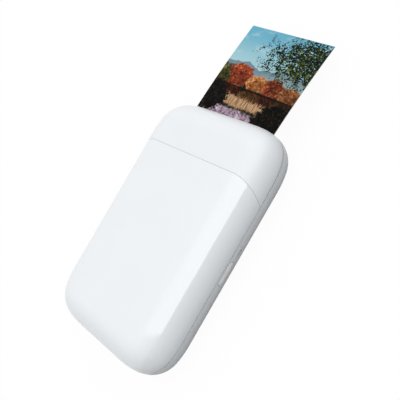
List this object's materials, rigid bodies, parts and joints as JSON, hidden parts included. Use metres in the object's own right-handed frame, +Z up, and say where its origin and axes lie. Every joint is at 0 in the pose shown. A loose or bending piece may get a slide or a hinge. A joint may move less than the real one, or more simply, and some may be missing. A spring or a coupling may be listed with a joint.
{
  "type": "compact photo printer",
  "caption": "Palm-sized photo printer with rounded white casing, hinged top cover over a paper tray, and an end slot that feeds out a printed sheet.",
  "frame": {"origin": "middle of the casing's outline on the surface that it stands on", "axes": "+Y along the casing towards the exit slot, +X to the side with the power button, +Z up"},
  "size_m": [0.0752, 0.1634, 0.0235],
  "materials": {
    "base_plastic": "moulded white ABS with a soft gloss",
    "cover_plastic": "polished white ABS",
    "cap_plastic": "polished white ABS",
    "trim_plastic": "moulded white ABS",
    "button_plastic": "moulded white ABS",
    "light_window": "smoked light pipe",
    "frame_plastic": "moulded dark ABS",
    "plate_plastic": "moulded dark acetal",
    "foot_rubber": "matt rubber",
    "steel": "ground steel",
    "magnet_nickel": "nickel plate",
    "keeper_steel": "stamped steel",
    "spring_steel": "drawn wire",
    "bush_bronze": "sintered bronze",
    "blank_paper": "coated photo paper",
    "printed_paper": "glossy colour print",
    "cork_pad": "cork and rubber",
    "tyre_rubber": "ground rubber",
    "platen_rubber": "ground silicone rubber",
    "gear_acetal": "moulded acetal",
    "pinion_brass": "cut brass",
    "motor_steel": "drawn can",
    "head_ceramic": "glazed ceramic bar",
    "sink_aluminium": "extruded",
    "pinch_plastic": "moulded acetal",
    "ribbon_film": "polyimide film",
    "board_mask": "solder mask on fibreglass",
    "chip_plastic": "moulded epoxy",
    "can_tin": "tinned steel",
    "socket_steel": "nickel-plated shell",
    "switch_plastic": "moulded nylon",
    "plunger_plastic": "moulded nylon",
    "battery_foil": "laminated foil pouch",
    "foam": "adhesive foam",
    "lead_pvc": "PVC insulation",
    "screw_steel": "blackened steel"
  },
  "bodies": {
    "casing": {"base_shell": "base_plastic", "end_cap": "cap_plastic", "slot_trim": "trim_plastic", "rubber_feet": "foot_rubber", "side_plates": "frame_plastic", "crossbars": "frame_plastic", "paper_tray": "frame_plastic", "hinge_pins": "steel", "magnet_keepers": "keeper_steel", "paper_stack": "blank_paper", "separator_pad": "cork_pad", "shaft_bushes": "bush_bronze", "gear_posts": "steel", "motor_case": "motor_steel", "head_springs": "spring_steel", "head_ribbon": "ribbon_film", "circuit_board": "board_mask", "board_parts": "chip_plastic", "shield_can": "can_tin", "usb_socket": "socket_steel", "switch_body": "switch_plastic", "light_guide": "light_window", "battery": "battery_foil", "battery_pad": "foam", "battery_leads": "lead_pvc", "case_screws": "screw_steel", "cap_screws": "screw_steel", "board_screws": "screw_steel"},
    "cover": {"cover": "cover_plastic", "cover_magnets": "magnet_nickel", "press_springs": "spring_steel"},
    "pressure_plate": {"pressure_plate": "plate_plastic"},
    "print_sheet": {"print_sheet": "printed_paper"},
    "platen": {"platen_shaft": "steel", "platen_roller": "platen_rubber", "platen_drive_gear": "gear_acetal", "platen_feed_gear": "gear_acetal"},
    "reduction_gear": {"reduction_gear": "gear_acetal"},
    "motor_rotor": {"motor_shaft": "steel", "motor_pinion": "pinion_brass"},
    "pickup_idler": {"pickup_idler": "gear_acetal"},
    "pickup_roller": {"pickup_shaft": "steel", "pickup_tyre": "tyre_rubber", "pickup_gear": "gear_acetal"},
    "exit_idler": {"exit_idler": "gear_acetal"},
    "exit_roller": {"exit_shaft": "steel", "exit_tyres": "tyre_rubber", "exit_gear": "gear_acetal"},
    "pinch_rollers": {"pinch_shaft": "steel", "pinch_rollers": "pinch_plastic"},
    "print_head": {"print_head": "head_ceramic", "head_sink": "sink_aluminium", "head_pins": "steel"},
    "power_button": {"power_button": "button_plastic", "switch_plunger": "plunger_plastic"}
  },
  "joints": [
    {"name": "cover_hinge", "type": "hinge", "parent": "casing", "child": "cover", "pos_m": [0, -0.0561, 0.0136], "axis": [1, 0, 0], "range_deg": [0, 72]},
    {"name": "press_slide", "type": "slide", "parent": "cover", "child": "pressure_plate", "axis": [0, 0, 1], "range_m": [0, 0.0018], "stiffness_N_per_m": 80, "springref_m": -0.002, "deforming": ["press_springs"]},
    {"name": "platen_spin", "type": "hinge", "parent": "casing", "child": "platen", "pos_m": [0, 0.036, 0.00795], "axis": [-1, 0, 0], "range_deg": [0, 358]},
    {"name": "sheet_feed", "type": "slide", "parent": "casing", "child": "print_sheet", "axis": [0, 1, 0], "range_m": [0, 0.0249]},
    {"name": "reduction_spin", "type": "hinge", "parent": "casing", "child": "reduction_gear", "pos_m": [0, 0.03073, 0.01081], "axis": [-1, 0, 0], "range_deg": [-717, 0]},
    {"name": "motor_spin", "type": "hinge", "parent": "casing", "child": "motor_rotor", "pos_m": [0, 0.027, 0.00611], "axis": [-1, 0, 0], "range_deg": [0, 1433]},
    {"name": "pickup_idler_spin", "type": "hinge", "parent": "casing", "child": "pickup_idler", "pos_m": [0, 0.02681, 0.00994], "axis": [-1, 0, 0], "range_deg": [-266.2, 0]},
    {"name": "pickup_spin", "type": "hinge", "parent": "casing", "child": "pickup_roller", "pos_m": [0, 0.018, 0.00812], "axis": [-1, 0, 0], "range_deg": [0, 398.8]},
    {"name": "exit_idler_spin", "type": "hinge", "parent": "casing", "child": "exit_idler", "pos_m": [0, 0.04234, 0.00706], "axis": [-1, 0, 0], "range_deg": [-597.7, 0]},
    {"name": "exit_spin", "type": "hinge", "parent": "casing", "child": "exit_roller", "pos_m": [0, 0.0465, 0.00945], "axis": [-1, 0, 0], "range_deg": [0, 597.7]},
    {"name": "pinch_spin", "type": "hinge", "parent": "casing", "child": "pinch_rollers", "pos_m": [0, 0.0465, 0.01468], "axis": [-1, 0, 0], "range_deg": [-717, 0]},
    {"name": "head_pivot", "type": "hinge", "parent": "casing", "child": "print_head", "pos_m": [0, 0.0422, 0.0154], "axis": [-1, 0, 0], "range_deg": [0, 3], "stiffness_Nm_per_rad": 0.2, "springref_deg": -2.86, "deforming": ["head_springs"]},
    {"name": "button_press", "type": "slide", "parent": "casing", "child": "power_button", "axis": [-1, 0, 0], "range_m": [0, 0.0005], "stiffness_N_per_m": 1500, "springref_m": -0.0002}
  ],
  "couplings": [
    {"joint": "platen_spin", "follows": "sheet_feed", "rad_per_m": 250},
    {"joint": "reduction_spin", "follows": "sheet_feed", "rad_per_m": -500},
    {"joint": "motor_spin", "follows": "sheet_feed", "rad_per_m": 1000},
    {"joint": "pickup_idler_spin", "follows": "sheet_feed", "rad_per_m": -185.19},
    {"joint": "pickup_spin", "follows": "sheet_feed", "rad_per_m": 277.78},
    {"joint": "exit_idler_spin", "follows": "sheet_feed", "rad_per_m": -416.67},
    {"joint": "exit_spin", "follows": "sheet_feed", "rad_per_m": 416.67},
    {"joint": "pinch_spin", "follows": "sheet_feed", "rad_per_m": -500}
  ]
}
